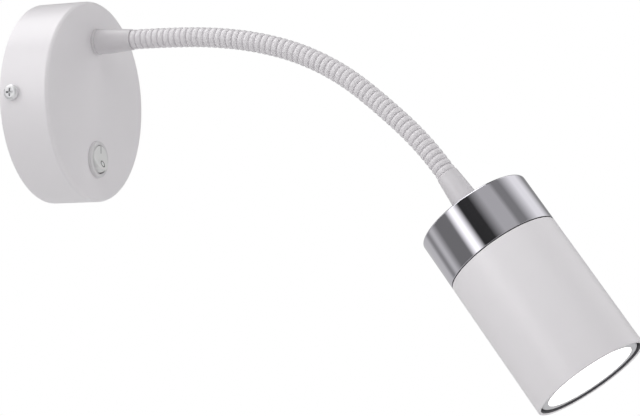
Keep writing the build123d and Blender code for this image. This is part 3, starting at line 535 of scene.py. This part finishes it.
# ---------------------------------------------------------------- gooseneck
@dataclass
class Gooseneck:
    """Ribbed white gooseneck: seven lengths, each along one arc, and two ferrules."""

    rib_r: float = 4.9
    groove_r: float = 4.05
    bore_r: float = 3.0
    segments: int = 72
    bead_r: float = 6.6
    collar_r: float = 6.2
    nose_r: float = 5.2
    stub_r: float = 4.95
    thread_depth: float = 0.5
    base_stub: float = 10.0
    head_stub: float = 9.5
    bead_length: float = 1.5
    collar_share: float = 0.36       # of the ferrule's length, before its taper
    thread_pitch: float = 1.0
    # Half a rib: first height above the groove, then depth below the crown, each with its place
    # along the middle line.
    foot: Outline = ((0.0, 0.0), (0.0, 0.13), (0.1, 0.2), (0.35, 0.27))
    crown: Outline = (
        (0.31, 0.34), (0.23, 0.43), (0.16, 0.57), (0.1, 0.77), (0.045, 1.02), (0.012, 1.28))

    def rib_outline(self) -> list[tuple[float, float]]:
        """Draw one rib from groove to groove.

        Returns:
            Its points as radius and length along the middle line, in millimetres.
        """
        pitch = LAYOUT.rib_pitch
        rise = [(self.groove_r + up, s) for up, s in self.foot]
        rise += [(self.rib_r - down, s) for down, s in self.crown]
        rise.append((self.rib_r, pitch / 2))
        return rise + [(r, pitch - s) for r, s in reversed(rise[1:-1])]

    def outline_point(self, tree: bpy.types.NodeTree, given: Any,
                      index: bpy.types.NodeSocket | int) -> Any:
        """Read one point of the rib's outline.

        Args:
            tree: the geometry tree.
            given: the tree's input sockets.
            index: the point's number.

        Returns:
            Sockets of its radius, X, and of its length along, Z.
        """
        position = add(tree, "GeometryNodeInputPosition").outputs[0]
        sample = add(tree, "GeometryNodeSampleIndex", {
            "Geometry": given["Outline"], "Value": position, "Index": index},
            data_type="FLOAT_VECTOR", domain="POINT")
        return add(tree, "ShaderNodeSeparateXYZ", {0: sample.outputs[0]}).outputs

    def tree(self) -> bpy.types.NodeTree:
        """Geometry tree that repeats a rib's outline along an arc and closes it over the bore.

        Returns:
            The tree. Its geometry input is the outline of one rib, as loose points.
        """
        tree = bpy.data.node_groups.new("ribbed_hose", "GeometryNodeTree")
        face = tree.interface
        face.new_socket("Outline", in_out="INPUT", socket_type="NodeSocketGeometry")
        for name, kind in (("Rib Count", "Int"), ("Rib Pitch", "Float"), ("Bore Radius", "Float"),
                           ("Segments", "Int"), ("Start", "Vector"), ("Heading", "Float"),
                           ("Bend", "Float"), ("Finish", "Material")):
            face.new_socket(name, in_out="INPUT", socket_type="NodeSocket" + kind)
        face.new_socket("Hose", in_out="OUTPUT", socket_type="NodeSocketGeometry")
        given = add(tree, "NodeGroupInput").outputs

        def calc(operation: str, *values: Any) -> bpy.types.NodeSocket:
            """One maths node on values or sockets."""
            return add(tree, "ShaderNodeMath", dict(enumerate(values)),
                       operation=operation).outputs[0]

        def choose(switch: bpy.types.NodeSocket, off: Any, on: Any) -> bpy.types.NodeSocket:
            """One of two numbers."""
            return add(tree, "GeometryNodeSwitch", {"Switch": switch, "False": off, "True": on},
                       input_type="FLOAT").outputs[0]

        per_rib = add(tree, "GeometryNodeAttributeDomainSize", {"Geometry": given["Outline"]},
                      component="MESH").outputs["Point Count"]
        outside = calc("MULTIPLY", given["Rib Count"], per_rib)
        rows = calc("ADD", calc("ADD", outside, given["Rib Count"]), 2.0)
        grid = add(tree, "GeometryNodeMeshGrid", {
            "Size X": 1.0, "Size Y": 1.0, "Vertices X": rows,
            "Vertices Y": calc("ADD", given["Segments"], 1.0)})
        spot = add(tree, "ShaderNodeSeparateXYZ", {
            0: add(tree, "GeometryNodeInputPosition").outputs[0]}).outputs
        row = calc("ROUND", calc(
            "MULTIPLY", calc("ADD", spot["X"], 0.5), calc("SUBTRACT", rows, 1.0)))
        rib = calc("FLOOR", calc("DIVIDE", calc("ADD", row, 0.5), per_rib))
        within = calc("SUBTRACT", row, calc("MULTIPLY", rib, per_rib))
        corner, first = self.outline_point(tree, given, within), self.outline_point(tree, given, 0)
        length = calc("MULTIPLY", given["Rib Count"], given["Rib Pitch"])
        inside = calc("SUBTRACT", row, outside)
        in_bore = calc("GREATER_THAN", inside, -0.5)
        last = calc("GREATER_THAN", row, calc("SUBTRACT", rows, 1.5))
        left = calc("SUBTRACT", 1.0, calc("DIVIDE", inside, given["Rib Count"]))
        back = calc("MULTIPLY", length, left)
        along = calc("ADD", calc("MULTIPLY", rib, given["Rib Pitch"]), corner["Z"])
        along = choose(last, choose(in_bore, along, back), 0.0)
        radius = choose(last, choose(in_bore, corner["X"], given["Bore Radius"]), first["X"])
        turn = calc("MULTIPLY", calc("ADD", spot["Y"], 0.5), math.tau)
        heading = calc("ADD", given["Heading"], calc("MULTIPLY", given["Bend"], along))
        side = calc("MULTIPLY", radius, calc("COSINE", turn))
        up = calc("MULTIPLY", radius, calc("SINE", turn))
        start = add(tree, "ShaderNodeSeparateXYZ", {0: given["Start"]}).outputs
        sine, cosine = calc("SINE", heading), calc("COSINE", heading)
        run_y = calc("DIVIDE", calc("SUBTRACT", sine, calc("SINE", given["Heading"])),
                     given["Bend"])
        run_z = calc("DIVIDE", calc("SUBTRACT", cosine, calc("COSINE", given["Heading"])),
                     given["Bend"])
        y = calc("SUBTRACT", calc("SUBTRACT", start["Y"], run_y), calc("MULTIPLY", up, sine))
        z = calc("ADD", calc("ADD", start["Z"], run_z), calc("MULTIPLY", up, cosine))
        place = add(tree, "ShaderNodeCombineXYZ", {0: side, 1: y, 2: z})
        bent = add(tree, "GeometryNodeSetPosition", {
            "Geometry": grid.outputs["Mesh"], "Position": place.outputs[0]})
        closed = add(tree, "GeometryNodeMergeByDistance", {
            "Geometry": bent.outputs[0], "Distance": 2e-6})
        real = add(tree, "GeometryNodeRealizeInstances", {"Geometry": closed.outputs[0]})
        done = add(tree, "GeometryNodeSetMaterial", {
            "Geometry": real.outputs[0], "Material": given["Finish"]})
        add(tree, "NodeGroupOutput", {0: done.outputs[0]})
        return tree

    def lengths(self) -> None:
        """Build the seven ribbed lengths, each along one arc from one border to the next."""
        tree, neck, pitch = self.tree(), LAYOUT.neck(), LAYOUT.rib_pitch
        count = len(LAYOUT.border_ribs) - 1
        for i in range(count):
            ribs = LAYOUT.border_ribs[i + 1] - LAYOUT.border_ribs[i]
            y0, z0, h0 = LAYOUT.border(i)
            y1, z1, h1 = LAYOUT.border(i + 1)
            outline = bpy.data.meshes.new("rib_outline")
            outline.from_pydata([(r * MM, 0.0, s * MM) for r, s in self.rib_outline()], [], [])
            piece = bpy.data.objects.new(f"gooseneck_length_{i + 1}", outline)
            bpy.context.scene.collection.objects.link(piece)
            # The hose wears the white coat greyed all over as painted shade.
            bake_nodes(piece, tree, {
                "Rib Count": ribs, "Rib Pitch": pitch * MM, "Bore Radius": self.bore_r * MM,
                "Segments": self.segments, "Start": (0.0, y0 * MM, z0 * MM), "Heading": h0,
                "Bend": (h1 - h0) / (ribs * pitch * MM), "Finish": HOSE_COAT_WITH_PAINTED_SHADE.material()},
                neck, 50.0)
            last = i + 2 if i == count - 1 else i + 1
            nodes = [f"neck_section_{k}" for k in range(i + 1, last + 1)]
            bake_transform(piece)
            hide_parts(*nodes)
            log.info("%s: %d ribs, %d faces", piece.name, ribs, len(piece.data.polygons))

    def ferrule(self, name: str, body: str, place: Matrix, length: float, stub: float) -> None:
        """Build one ferrule: a beaded, tapered collar with a hollow threaded stub behind it.

        Args:
            name: the CAD node that it stands for.
            body: the body that it rides on.
            place: its frame, with z = 0 on the face that it sits on and +z towards the gooseneck.
            length: how far the collar stands out.
            stub: how far the stub runs back.
        """
        groove = self.bead_length + 0.12
        collar = rounded([
            (self.bore_r, 0.0), (self.bead_r, 0.0), (self.bead_r, self.bead_length),
            (self.collar_r - 0.1, groove), (self.collar_r, 2.0),
            (self.collar_r, self.collar_share * length), (self.nose_r, length),
            (self.bore_r, length)],
            [0.0, 0.25, 0.7, 0.0, 0.15, 5.0, 0.35, 0.0])
        gap, root = 0.02, self.stub_r - self.thread_depth
        thread: list[tuple[float, float]] = [(self.bore_r, -gap), (self.stub_r, -gap)]
        for k in range(int(stub) - 1):
            turn = k * self.thread_pitch
            thread += [(self.stub_r, -0.5 - turn), (root, -1.0 - turn), (self.stub_r, -1.4 - turn)]
        thread += [(root, -stub), (self.bore_r, -stub)]
        shape = bmesh.new()
        revolve(shape, collar)
        revolve(shape, thread, 96, 1)
        # The collar wears the white coat greyed all over as painted shade.
        piece = settle(name + "_turned", shape, place, FERRULE_COAT_WITH_PAINTED_SHADE, ZINC, sharp=38.0)
        hand_over(piece, body, "white_coat", name)

    def build(self) -> None:
        """Build the lengths and the ferrules, and dress the cable inside."""
        self.lengths()
        foot = wall_place(0.0, LAYOUT.arm_height * MM, LAYOUT.canopy_depth * MM)
        self.ferrule("base_ferrule", "base", foot, LAYOUT.base_ferrule, self.base_stub)
        back = LAYOUT.head() @ Matrix.Rotation(math.pi, 4, "X")
        self.ferrule("head_ferrule", "head", back, LAYOUT.head_ferrule, self.head_stub)
        dress(SHEATH, *[f"neck_cable_{k}" for k in range(1, 9)])


# ---------------------------------------------------------------- canopy
@dataclass
class Canopy:
    """Round canopy on the wall, with its bracket, terminals and leads behind it."""

    def build(self) -> None:
        """Dress the canopy and what it covers."""
        dress(WHITE_COAT, "canopy")
        dress(ZINC, "wall_bracket", "base_star_washer", "base_lock_nut", "terminal_clamp_screws",
              "terminal_fixing_screws")
        dress(SCREW, "side_screws")
        dress(RUBBER, "cable_bush")
        dress(POLYAMIDE, "terminal_block")
        dress(BRASS, "terminal_barrels", "base_earth_tag")
        dress(CORE_BLUE, "lead_neutral")
        dress(CORE_BROWN, "lead_live_switched", "lead_live_feed")
        dress(CORE_EARTH, "lead_earth_neck", "lead_earth_canopy")


# ---------------------------------------------------------------- switch
@dataclass
class Switch:
    """Round rocker switch in the canopy's front: bezel, rocker with printed marks, and tabs."""

    mouth_r: float = 7.05
    tilt_deg: float = 10.0
    pivot_depth: float = 24.3
    valley: float = 3.65
    valley_soft: float = 0.8
    skirt: float = -1.4
    rim: float = 0.7
    segments: int = 96
    side_heights: tuple[float, ...] = (-0.4, 0.6, 1.6, 2.6)
    rim_rows: int = 7
    face_shares: tuple[float, ...] = (0.94, 0.85, 0.74, 0.62, 0.5, 0.38, 0.26, 0.14)
    mark_rise: float = 0.03
    mark_sink: float = 0.1
    bar_size: tuple[float, float] = (0.55, 3.7)
    bar_corners: int = 16
    bar_y: float = 4.1
    ring_r: tuple[float, float] = (1.28, 1.82)
    ring_segments: int = 48
    ring_y: float = -3.0

    def face(self, y: float) -> float:
        """Height of the two faces above the pivot at y, with a soft valley between them."""
        slope = math.tan(math.radians(self.tilt_deg))
        return self.valley + slope * (math.hypot(y, self.valley_soft) - self.valley_soft)

    def edge(self, turn: float, height: float) -> tuple[float, float]:
        """Find a point of the outline that passes the mouth at both ends of the travel.

        Args:
            turn: the point's angle, in radians.
            height: its height above the pivot.

        Returns:
            Its x and y.
        """
        tilt = math.radians(self.tilt_deg)
        away = abs(height) * math.sin(tilt)
        x = math.sqrt(self.mouth_r ** 2 - away ** 2) * math.cos(turn)
        y = (math.sqrt(max(self.mouth_r ** 2 - x * x, 0.0)) - away) / math.cos(tilt)
        return x, math.copysign(max(y, 0.0), math.sin(turn))

    def rows(self) -> list[list[tuple[float, float, float]]]:
        """Lay out the rocker's surface.

        Returns:
            Rings of points from the middle of the underside round to the middle of the faces.
        """
        turns = [math.tau * (k + 0.5) / self.segments for k in range(self.segments)]
        rows = [[(0.0, 0.0, self.skirt)]]
        for z in (self.skirt, *self.side_heights):
            rows.append([(*self.edge(turn, z), z) for turn in turns])
        tops = []
        for turn in turns:
            height = self.valley
            for _ in range(4):
                x, y = self.edge(turn, height)
                height = self.face(y)
            tops.append((x, y))
        for k in range(self.rim_rows):
            swing = math.pi / 2 * k / (self.rim_rows - 1)
            inset = self.rim * (1 - math.cos(swing))
            row = []
            for x, y in tops:
                keep = 1 - inset / math.hypot(x, y)
                x, y = x * keep, y * keep
                row.append((x, y, self.face(y) - self.rim * (1 - math.sin(swing))))
            rows.append(row)
        rim = rows[-1]
        for share in self.face_shares:
            rows.append([(x * share, y * share, self.face(y * share)) for x, y, _ in rim])
        rows.append([(0.0, 0.0, self.face(0.0))])
        return rows

    def on_face(self, y: float) -> Matrix:
        """Find the frame of the rocker's face at one place.

        Args:
            y: the place, from the pivot.

        Returns:
            Its matrix, with local z out of the face.
        """
        step = 0.01
        slope = (self.face(y + step) - self.face(y - step)) / (2 * step)
        return (Matrix.Translation((0.0, y * MM, self.face(y) * MM))
                @ Matrix.Rotation(math.atan(slope), 4, "X"))

    def marks(self, shape: bmesh.types.BMesh) -> None:
        """Add the ring and the bar, a hair proud of the faces, in the second and third materials.

        Args:
            shape: the rocker's mesh.
        """
        inner, outer = self.ring_r
        ring = bmesh.new()
        low, high = -self.mark_sink, self.mark_rise
        revolve(ring, [(outer, low), (outer, high), (inner, high), (inner, low)],
                self.ring_segments, 1)
        ring.transform(self.on_face(self.ring_y))
        bar = bmesh.new()
        width, length = self.bar_size
        corners = []
        for k in range(self.bar_corners):
            turn = math.tau * (k + 0.5) / self.bar_corners
            shift = math.copysign((length - width) / 2, math.sin(turn))
            corners.append((width / 2 * math.cos(turn), width / 2 * math.sin(turn) + shift))
        below, above = ([bar.verts.new((x * MM, y * MM, z * MM)) for x, y in corners]
                        for z in (low, high))
        bar.faces.new(above).material_index = 2
        bar.faces.new(list(reversed(below))).material_index = 2
        for k in range(self.bar_corners):
            near = (k + 1) % self.bar_corners
            bar.faces.new([below[k], below[near], above[near], above[k]]).material_index = 2
        bar.transform(self.on_face(self.bar_y))
        for part in (ring, bar):
            copy = bpy.data.meshes.new("mark")
            part.to_mesh(copy)
            part.free()
            shape.from_mesh(copy)
            bpy.data.meshes.remove(copy)

    def build(self) -> None:
        """Build the rocker and dress the housing and the tabs."""
        shape = bmesh.new()
        loops = [[shape.verts.new((x * MM, y * MM, z * MM)) for x, y, z in row]
                 for row in self.rows()]
        for a, b in zip(loops, loops[1:]):
            for k in range(self.segments):
                near = (k + 1) % self.segments
                corners = [a[k % len(a)], a[near % len(a)], b[near % len(b)], b[k % len(b)]]
                corners = list(dict.fromkeys(corners))
                if len(corners) > 2:
                    shape.faces.new(corners)
        bmesh.ops.recalc_face_normals(shape, faces=shape.faces)
        self.marks(shape)
        place = (wall_place(0.0, -LAYOUT.switch_drop * MM, self.pivot_depth * MM)
                 @ Matrix.Rotation(-math.radians(self.tilt_deg), 4, "X"))
        rocker = settle("rocker_with_marks", shape, place, NYLON, INK, THIN_INK, sharp=40.0)
        hand_over(rocker, "switch_rocker", "white_plastic", "switch_rocker")
        # The housing wears the rocker's nylon greyed as painted shade.
        dress(HOUSING_NYLON_WITH_PAINTED_SHADE, "switch_housing")
        dress(BRASS, "switch_terminals")


# ---------------------------------------------------------------- head
@dataclass
class Head:
    """Tube head: chrome cap, white tube, lampholder, leads and the lit spot bulb."""

    outer_r: float = 27.5
    wall: float = 1.3
    cap_length: float = 24.0
    back: float = 1.5
    stub_hole_r: float = 5.1
    spigot: float = 8.0
    spigot_in: float = 6.0
    spigot_wall: float = 1.25
    fit: float = 0.05
    length: float = 93.0
    seam: float = 0.4
    segments: int = 180

    def cap(self) -> None:
        """Build the cap: a pressing with a soft rear rim, and a spigot inside the tube."""
        r, end, inside = self.outer_r, self.cap_length, self.outer_r - self.wall
        spigot = inside - self.fit
        deep = spigot - self.spigot_wall
        shape = bmesh.new()
        revolve(shape, rounded([
            (self.stub_hole_r, 0.0), (r, 0.0), (r, end), (spigot, end), (spigot, end + self.spigot),
            (deep, end + self.spigot), (deep, end - self.spigot_in), (inside, end - self.spigot_in),
            (inside, self.back), (self.stub_hole_r, self.back)],
            [0.1, 0.9, 0.2, 0.0, 0.3, 0.2, 0.2, 0.3, 0.8, 0.1]), self.segments)
        # The spigot's faces, which show only in the seam, get the dark grey painted shade.
        for face in shape.faces:
            face.material_index = int(all(corner.co.z > (end - 0.01) * MM for corner in face.verts))
        cap = settle("head_cap_pressed", shape, LAYOUT.head(), CHROME, RECESS_PAINTED_SHADE)
        hand_over(cap, "head", "chrome", "head_cap")

    def tube(self) -> None:
        """Build the tube: coated outside, both ends broken, and a hairline seam behind it."""
        r, inside = self.outer_r, self.outer_r - self.wall
        shape = bmesh.new()
        revolve(shape, rounded([
            (inside, self.cap_length + self.seam), (r, self.cap_length + self.seam),
            (r, self.length), (inside, self.length)], [0.15, 0.5, 0.45, 0.35]), self.segments)
        # The tube's inner wall and the inner edge of its mouth get the dark grey painted shade.
        painted_shade_reach = (inside + 0.01) * MM
        for face in shape.faces:
            face.material_index = int(all(corner.co.xy.length < painted_shade_reach for corner in face.verts))
        tube = settle("head_tube_cut", shape, LAYOUT.head(), WHITE_COAT, RECESS_PAINTED_SHADE)
        hand_over(tube, "head", "white_coat", "head_tube")

    def build(self) -> None:
        """Build the cap and the tube, and dress what they hold."""
        self.cap()
        self.tube()
        dress(ZINC, "head_star_washer", "head_lock_nut", "holder_bracket", "holder_screws")
        dress(STEATITE, "lampholder")
        dress(BRASS, "lampholder_contacts", "head_earth_tag")
        dress(CORE_BROWN, "head_lead_live")
        dress(CORE_BLUE, "head_lead_neutral")
        dress(CORE_EARTH, "head_lead_earth")
        dress(BULB_BODY, "bulb_housing")
        dress(LENS, "bulb_lens")
        dress(NICKEL, "bulb_pins")
        dress(BOARD, "bulb_led_board")


# ---------------------------------------------------------------- studio
@dataclass
class Studio:
    """Plain white studio with soft light, and the camera at the photograph's angle."""

    azimuth_deg: float = -68.6512
    elevation_deg: float = -3.5727
    roll_deg: float = -0.4763
    distance: float = 0.92591
    focal_px: float = 1836.02
    image_width_px: float = 640.0
    slide: tuple[float, float] = (0.13513, -0.05221)
    floor_z: float = -0.42
    floor_r: float = 3.0
    fill: float = 0.08
    aim: tuple[float, float, float] = (0.0, -0.12, -0.03)
    overhead_towards: tuple[float, float, float] = (0.0, 0.45, 0.9)
    overhead_strength: float = 0.9
    overhead_spread_deg: float = 40.0
    # Soft lights: name, direction from the lamp, distance, side and watts.
    softboxes: tuple[tuple[str, tuple[float, float, float], float, float, float], ...] = (
        ("key", (-0.6, -0.25, 0.75), 1.6, 2.0, 15.4),
        ("front", (0.5, -1.0, 0.15), 1.8, 1.4, 10.2),
        ("behind", (-0.6, 0.7, 0.35), 1.8, 1.4, 12.6))
    drum_r: float = 0.65
    drum_half: float = 0.7
    # Cards and flags that the cap mirrors: where each begins and ends, in degrees about the
    # head's axis from the camera's side, and how bright it is. They blend over the gaps.
    cards: tuple[tuple[float, float, float], ...] = (
        (-165.0, -125.0, 0.6),   # wide card behind the left edge
        (-114.0, -109.0, 0.3),   # gap
        (-99.0, -94.0, 0.6),     # narrow card
        (-78.0, -48.0, 0.2),     # dim wall
        (-35.5, -29.0, 1.5),     # bright strip
        (-16.0, 6.0, 0.035),     # black flag
        (28.0, 52.0, 0.5),       # broad soft card
        (61.0, 75.0, 0.25),      # gap
        (105.0, 122.0, 1.0),     # tall card behind the right edge
        (148.0, 160.0, 0.3))     # gap

    def axes(self) -> tuple[Vector, Vector, Vector]:
        """Find the camera's directions.

        Returns:
            Its right, up and back, as unit vectors.
        """
        a, e = math.radians(self.azimuth_deg), math.radians(self.elevation_deg)
        roll = math.radians(self.roll_deg)
        back = Vector((math.sin(a) * math.cos(e), -math.cos(a) * math.cos(e), math.sin(e)))
        right = Vector((math.cos(a), math.sin(a), 0.0))
        up = back.cross(right)
        return (math.cos(roll) * right + math.sin(roll) * up,
                -math.sin(roll) * right + math.cos(roll) * up, back)

    def camera(self) -> None:
        """Make the camera."""
        right, up, back = self.axes()
        data = bpy.data.cameras.new("camera")
        data.sensor_width = 36.0
        data.lens = self.focal_px * data.sensor_width / self.image_width_px
        data.clip_start, data.clip_end = 0.05, 50.0
        camera = bpy.data.objects.new("camera", data)
        place = Matrix((right, up, back)).transposed().to_4x4()
        place.translation = back * self.distance + right * self.slide[0] + up * self.slide[1]
        camera.matrix_world = place
        bpy.context.scene.collection.objects.link(camera)
        bpy.context.scene.camera = camera

    def softbox(self, name: str, towards: Sequence[float], distance: float, size: float,
                power: float) -> None:
        """Add one square soft light that looks at the lamp.

        Args:
            name: the light's name.
            towards: direction from the lamp to the light.
            distance: how far away it is.
            size: its side.
            power: its power in watts.
        """
        data = bpy.data.lights.new(name, "AREA")
        data.shape, data.size, data.energy = "SQUARE", size, power
        light = bpy.data.objects.new(name, data)
        way = Vector(towards).normalized()
        light.location = Vector(self.aim) + way * distance
        light.rotation_mode = "QUATERNION"
        light.rotation_quaternion = way.to_track_quat("Z", "Y")
        bpy.context.scene.collection.objects.link(light)

    def overhead(self) -> None:
        """Add even soft light from above, which whitens the floor and what faces up."""
        data = bpy.data.lights.new("overhead", "SUN")
        data.energy, data.angle = self.overhead_strength, math.radians(self.overhead_spread_deg)
        light = bpy.data.objects.new("overhead", data)
        light.rotation_mode = "QUATERNION"
        light.rotation_quaternion = Vector(self.overhead_towards).to_track_quat("Z", "Y")
        bpy.context.scene.collection.objects.link(light)

    def floor(self) -> None:
        """Lay a plain pale floor well under the lamp."""
        shape = bmesh.new()
        bmesh.ops.create_circle(shape, cap_ends=True, segments=128, radius=self.floor_r)
        floor = settle("floor", shape, Matrix.Translation((0.0, 0.0, self.floor_z)), FLOOR)

    def drum(self) -> None:
        """Stand a drum of long soft cards round the head's axis, which only gloss can see."""
        shape = bmesh.new()
        bmesh.ops.create_cone(shape, segments=180, radius1=self.drum_r, radius2=self.drum_r,
                              depth=2 * self.drum_half)
        mesh = bpy.data.meshes.new("gloss_cards")
        shape.to_mesh(mesh)
        shape.free()
        drum = bpy.data.objects.new("gloss_cards", mesh)
        place = LAYOUT.head()
        drum.matrix_world = place
        bpy.context.scene.collection.objects.link(drum)
        for ray in ("camera", "diffuse", "transmission", "volume_scatter", "shadow"):
            setattr(drum, "visible_" + ray, False)
        right, up, back = self.axes()
        camera = back * self.distance + right * self.slide[0] + up * self.slide[1]
        to_camera = place.inverted() @ camera
        camera_at = math.degrees(math.atan2(to_camera.y, to_camera.x))
        material = bpy.data.materials.new("soft_cards")
        material.use_nodes = True
        tree = material.node_tree
        tree.nodes.clear()
        spot = add(tree, "ShaderNodeSeparateXYZ", {
            0: add(tree, "ShaderNodeTexCoord").outputs["Object"]}).outputs
        turn = add(tree, "ShaderNodeMath", {0: spot["Y"], 1: spot["X"]}, operation="ARCTAN2")
        share = add(tree, "ShaderNodeMath", {0: turn.outputs[0], 1: 1 / math.tau, 2: 1.0},
                    operation="MULTIPLY_ADD")
        share = add(tree, "ShaderNodeMath", {0: share.outputs[0]}, operation="FRACT").outputs[0]
        ramp = add(tree, "ShaderNodeValToRGB", {"Fac": share})
        brightest = max(level for _, _, level in self.cards)
        stops = sorted(((camera_at - theta) / 360 % 1.0, level / brightest)
                       for start, end, level in self.cards for theta in (start, end))
        elements = ramp.color_ramp.elements
        while len(elements) < len(stops):
            elements.new(0.5)
        for element, (position, level) in zip(elements, stops):
            element.position, element.color = position, (level, level, level, 1.0)
        glow = add(tree, "ShaderNodeEmission", {
            "Color": ramp.outputs["Color"], "Strength": brightest})
        add(tree, "ShaderNodeOutputMaterial", {"Surface": glow.outputs[0]})
        mesh.materials.append(material)

    def world(self) -> None:
        """White behind the lamp for the camera, and an even fill for everything else."""
        world = bpy.data.worlds.new("studio")
        world.use_nodes = True
        tree = world.node_tree
        tree.nodes.clear()
        white = (1.0, 1.0, 1.0, 1.0)
        seen, fill = (add(tree, "ShaderNodeBackground", {
            "Color": white, "Strength": strength}).outputs[0] for strength in (1.0, self.fill))
        path = add(tree, "ShaderNodeLightPath")
        both = add(tree, "ShaderNodeMixShader", {
            0: path.outputs["Is Camera Ray"], 1: fill, 2: seen})
        add(tree, "ShaderNodeOutputWorld", {"Surface": both.outputs[0]})
        bpy.context.scene.world = world

    def build(self) -> None:
        """Set up the floor, the cards, the world, the lights and the camera."""
        bpy.context.scene.view_settings.view_transform = "Standard"
        self.camera()
        self.floor()
        self.drum()
        self.world()
        self.overhead()
        for softbox in self.softboxes:
            self.softbox(*softbox)


def main() -> None:
    """Build the lamp, piece by piece, and the studio round it."""
    for assembly in (Canopy(), Switch(), Gooseneck(), Head(), Studio()):
        assembly.build()


if __name__ == "__main__":
    logging.basicConfig(level=logging.INFO, format="%(message)s")
    main()
